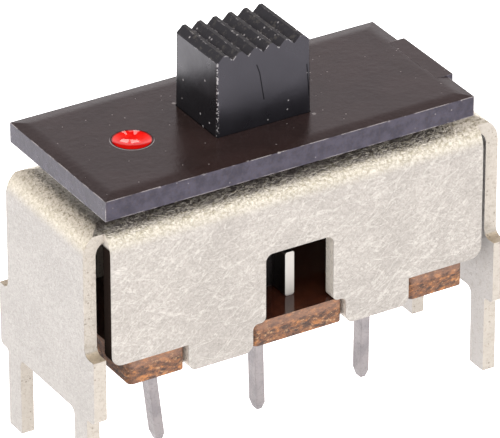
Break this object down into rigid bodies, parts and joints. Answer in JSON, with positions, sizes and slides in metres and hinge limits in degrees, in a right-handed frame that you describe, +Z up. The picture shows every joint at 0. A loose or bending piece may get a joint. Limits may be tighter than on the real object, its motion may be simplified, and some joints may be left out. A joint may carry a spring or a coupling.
{
  "type": "slide switch",
  "caption": "Miniature slide switch for a circuit board: folded tinned-steel frame, black ridged knob on a sliding cover plate with a red dot, brown terminal board with pins.",
  "frame": {"origin": "middle of the four legs' hole pattern, on the circuit board's face that the frame's ends seat on", "axes": "+X along the slide, away from the red dot; +Y across the slide; +Z up from the circuit board, towards the knob"},
  "size_m": [0.0174, 0.0068, 0.0158],
  "materials": {
    "tinned_steel": "matt tin plating with fine scratches",
    "black_moulding": "satin moulding",
    "cover_moulding": "satin moulding",
    "red_enamel": "gloss",
    "phenolic_board": "gloss face, fibrous cut edge",
    "tinned_terminal": "tin plating",
    "contact_metal": "plated",
    "plunger_plastic": "smooth",
    "spring_steel": "drawn wire"
  },
  "bodies": {
    "frame": {"frame": "tinned_steel", "terminal_board": "phenolic_board", "terminal_left": "tinned_terminal", "terminal_centre": "tinned_terminal", "terminal_right": "tinned_terminal"},
    "slider": {"slider": "black_moulding", "cover_plate": "cover_moulding", "indicator_dot": "red_enamel", "plunger_spring": "spring_steel"},
    "plunger": {"plunger": "plunger_plastic"},
    "rocker": {"rocker_contact": "contact_metal"}
  },
  "joints": [
    {"name": "slider_slide", "type": "slide", "parent": "frame", "child": "slider", "axis": [1, 0, 0], "range_m": [-0.00054, 0.00146]},
    {"name": "plunger_lift", "type": "slide", "parent": "slider", "child": "plunger", "axis": [0, 0, 1], "range_m": [0, 0.0003], "stiffness_N_per_m": 100, "deforming": ["plunger_spring"]},
    {"name": "rocker_tilt", "type": "hinge", "parent": "frame", "child": "rocker", "pos_m": [0, 0, 0.00325], "axis": [0, 1, 0], "range_deg": [-2.7, 7.3]}
  ],
  "couplings": [
    {"joint": "rocker_tilt", "follows": "slider_slide", "rad_per_m": 87.266}
  ]
}
